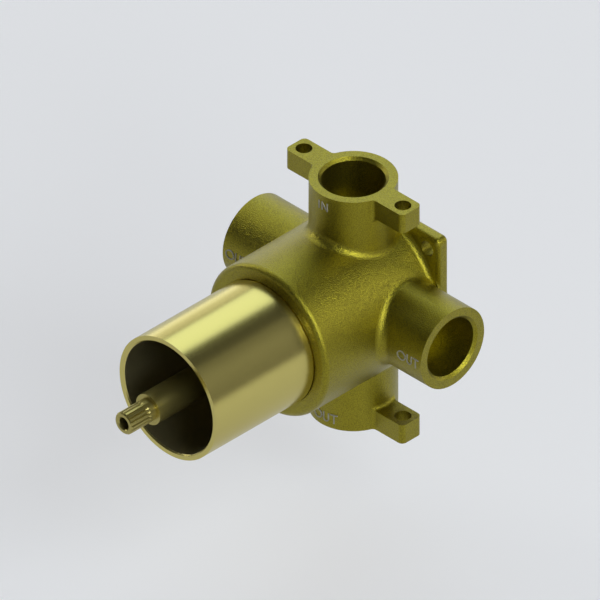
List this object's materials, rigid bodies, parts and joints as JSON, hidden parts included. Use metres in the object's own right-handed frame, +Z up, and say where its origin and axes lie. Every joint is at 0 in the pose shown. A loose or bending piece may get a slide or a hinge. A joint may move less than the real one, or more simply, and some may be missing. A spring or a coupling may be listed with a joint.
{
  "type": "concealed diverter valve",
  "caption": "Concealed wall diverter valve: cast brass body with a threaded inlet above and outlets right, left and below, a long sleeve and a splined spindle.",
  "frame": {"origin": "centre of the back plate's rear face, which lies against the wall recess", "axes": "+Y out of the back plate into the wall, -Y along the spindle towards the user, +Z up through the inlet, +X right through the right outlet"},
  "size_m": [0.09, 0.1206, 0.09],
  "materials": {
    "cast_brass": "sand-cast brass, fine grain, olive yellow",
    "turned_brass": "turned brass, smooth satin",
    "steel": "hardened stainless steel, ground",
    "ceramic": "lapped alumina ceramic, white",
    "acetal": "moulded acetal, white",
    "seal_rubber": "moulded black nitrile rubber"
  },
  "bodies": {
    "valve": {"valve_body": "cast_brass", "sleeve": "turned_brass", "sleeve_seal": "seal_rubber", "ring_nut": "turned_brass", "cartridge_housing": "turned_brass", "housing_seal": "seal_rubber", "cartridge_base": "acetal", "locating_pin": "steel", "base_seal_inlet": "seal_rubber", "base_seal_right": "seal_rubber", "base_seal_lower": "seal_rubber", "base_seal_left": "seal_rubber", "disc_gasket": "seal_rubber", "fixed_disc": "ceramic", "detent_ball": "steel", "detent_spring": "steel"},
    "spindle": {"spindle": "turned_brass", "disc_carrier": "acetal", "moving_disc": "ceramic", "thrust_washer": "acetal", "spindle_seal_rear": "seal_rubber", "spindle_seal_front": "seal_rubber"}
  },
  "joints": [
    {"name": "spindle_turn", "type": "hinge", "parent": "valve", "child": "spindle", "pos_m": [0, -0.06, 0], "axis": [0, -1, 0], "range_deg": [-90, 90]}
  ]
}
